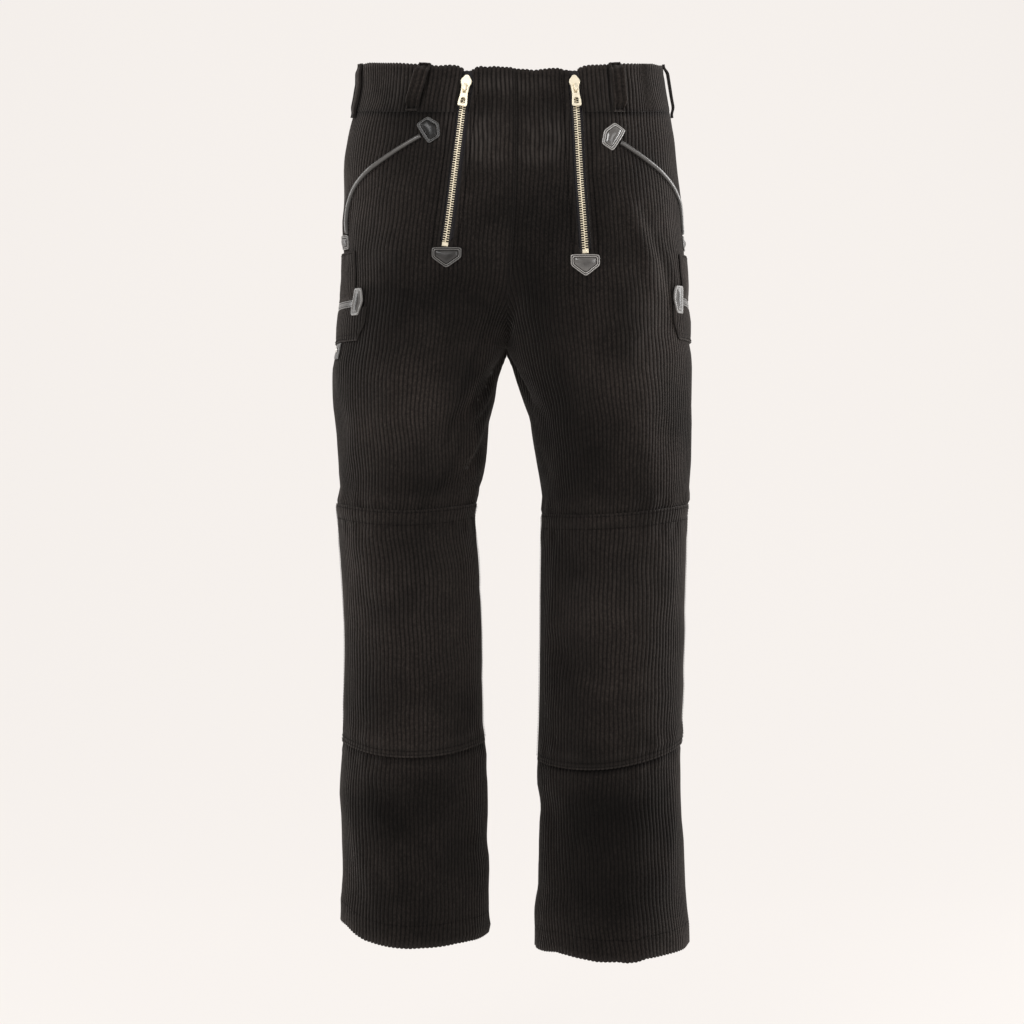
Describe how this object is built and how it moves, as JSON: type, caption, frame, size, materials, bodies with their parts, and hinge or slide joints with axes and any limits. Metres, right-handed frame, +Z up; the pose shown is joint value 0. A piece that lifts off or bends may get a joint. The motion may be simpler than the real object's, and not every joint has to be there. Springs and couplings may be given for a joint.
{
  "type": "journeyman trousers",
  "caption": "Wide-wale corduroy work trousers with a two-zip flap front, leather-trimmed pockets, thigh pockets and knee patches, filled out and hollow.",
  "frame": {"origin": "centre of the waistband at the height of its middle, where the wearer's waist holds the garment", "axes": "+Z up from the hems to the waist, -Y towards the wearer's front, +X towards the wearer's left"},
  "size_m": [0.4416, 0.2632, 1.1015],
  "materials": {
    "corduroy": "wide-wale cotton corduroy, near black with a brown cast, soft sheen on the wales",
    "zip_tape": "woven zip tape, matt black",
    "leather_trim": "smooth black leather, glossy",
    "gold_metal": "bright brass",
    "nickel": "nickel-plated rivet"
  },
  "bodies": {
    "garment": {"back_panel_l": "corduroy", "back_panel_r": "corduroy", "belt_loop_back_centre": "corduroy", "belt_loop_back_l": "corduroy", "belt_loop_back_r": "corduroy", "belt_loop_front_l": "corduroy", "belt_loop_front_r": "corduroy", "belt_loop_side_l": "corduroy", "belt_loop_side_r": "corduroy", "front_panel_l": "corduroy", "front_panel_r": "corduroy", "knee_patch_l": "corduroy", "knee_patch_r": "corduroy", "pocket_piping_l": "leather_trim", "pocket_piping_r": "leather_trim", "pocket_side_tab_l": "leather_trim", "pocket_side_tab_r": "leather_trim", "pocket_top_tab_l": "leather_trim", "pocket_top_tab_r": "leather_trim", "strap_rivet_r": "nickel", "thigh_mouth_tab_l": "leather_trim", "thigh_mouth_tab_r": "leather_trim", "thigh_mouth_trim_l": "leather_trim", "thigh_mouth_trim_r": "leather_trim", "thigh_pocket_lower_l": "corduroy", "thigh_pocket_lower_r": "corduroy", "thigh_pocket_upper_l": "corduroy", "thigh_pocket_upper_r": "corduroy", "thigh_strap_r": "leather_trim", "waistband_l": "corduroy", "waistband_r": "corduroy", "zip_end_tab_l": "leather_trim", "zip_end_tab_r": "leather_trim", "zip_foot_l": "gold_metal", "zip_foot_r": "gold_metal", "zip_slider_l": "gold_metal", "zip_slider_r": "gold_metal", "zip_tape_l": "zip_tape", "zip_tape_r": "zip_tape"},
    "pull_r": {"zip_pull_r": "gold_metal"},
    "pull_l": {"zip_pull_l": "gold_metal"}
  },
  "joints": [
    {"name": "zip_pull_r_swing", "type": "hinge", "parent": "garment", "child": "pull_r", "pos_m": [-0.05481, -0.11045, -0.02036], "axis": [-0.989, 0.0446, 0.1409], "range_deg": [0, 160]},
    {"name": "zip_pull_l_swing", "type": "hinge", "parent": "garment", "child": "pull_l", "pos_m": [0.07403, -0.10969, -0.02015], "axis": [-0.9942, -0.0909, -0.0574], "range_deg": [0, 160]}
  ]
}
